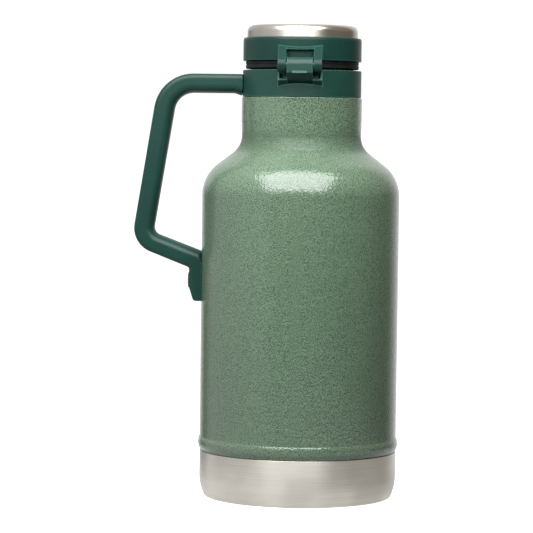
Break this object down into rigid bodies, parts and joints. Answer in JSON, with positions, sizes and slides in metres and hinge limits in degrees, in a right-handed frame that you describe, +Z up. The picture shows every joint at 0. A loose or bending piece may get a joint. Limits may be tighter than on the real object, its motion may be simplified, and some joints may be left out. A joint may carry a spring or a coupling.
{
  "type": "growler",
  "caption": "Vacuum-insulated steel growler with a C-shaped side handle, a hinged gasketed lid and a lever-and-wire latch.",
  "frame": {"origin": "centre of the flat base, on the bottle's axis, at the surface it stands on", "axes": "+Z up along the bottle's axis; the handle is towards -X, the lid's hinge towards -Y and the latch towards +Y"},
  "size_m": [0.1621, 0.122, 0.287],
  "materials": {
    "hammered_paint": "hammer-tone enamel, glossy and finely dimpled",
    "brushed_steel": "fine horizontal brushing, satin",
    "plain_steel": "smooth mill finish",
    "green_plastic": "fine moulded grain, satin",
    "black_rubber": "matt silicone",
    "black_plastic": "smooth moulded",
    "foam": "closed-cell foam",
    "latch_steel": "polished steel wire and sheet"
  },
  "bodies": {
    "bottle": {"outer_shell": "hammered_paint", "base_cup": "brushed_steel", "shell_bottom": "plain_steel", "vacuum_seal_plug": "plain_steel", "inner_liner": "plain_steel", "getter_disc": "plain_steel", "collar": "green_plastic", "handle": "green_plastic", "handle_foot_bracket": "plain_steel", "handle_foot_screw": "green_plastic", "handle_top_screw": "plain_steel", "hinge_pin": "plain_steel"},
    "lid": {"lid_ring": "green_plastic", "lid_cap": "brushed_steel", "lid_insulation": "foam", "lid_plug": "black_plastic", "lid_gasket": "black_rubber", "lid_screw_1": "plain_steel", "lid_screw_2": "plain_steel", "lid_screw_3": "plain_steel", "lever_pin": "plain_steel"},
    "lever": {"latch_lever": "latch_steel"},
    "bail": {"latch_bail": "latch_steel"}
  },
  "joints": [
    {"name": "lid_hinge", "type": "hinge", "parent": "bottle", "child": "lid", "pos_m": [0, -0.0412, 0.262], "axis": [1, 0, 0], "range_deg": [0, 170]},
    {"name": "latch_lever", "type": "hinge", "parent": "lid", "child": "lever", "pos_m": [0, 0.0426, 0.27], "axis": [1, 0, 0], "range_deg": [0, 100]},
    {"name": "latch_bail", "type": "hinge", "parent": "lever", "child": "bail", "pos_m": [0, 0.0436, 0.2741], "axis": [1, 0, 0], "range_deg": [-10.8, 60]}
  ]
}
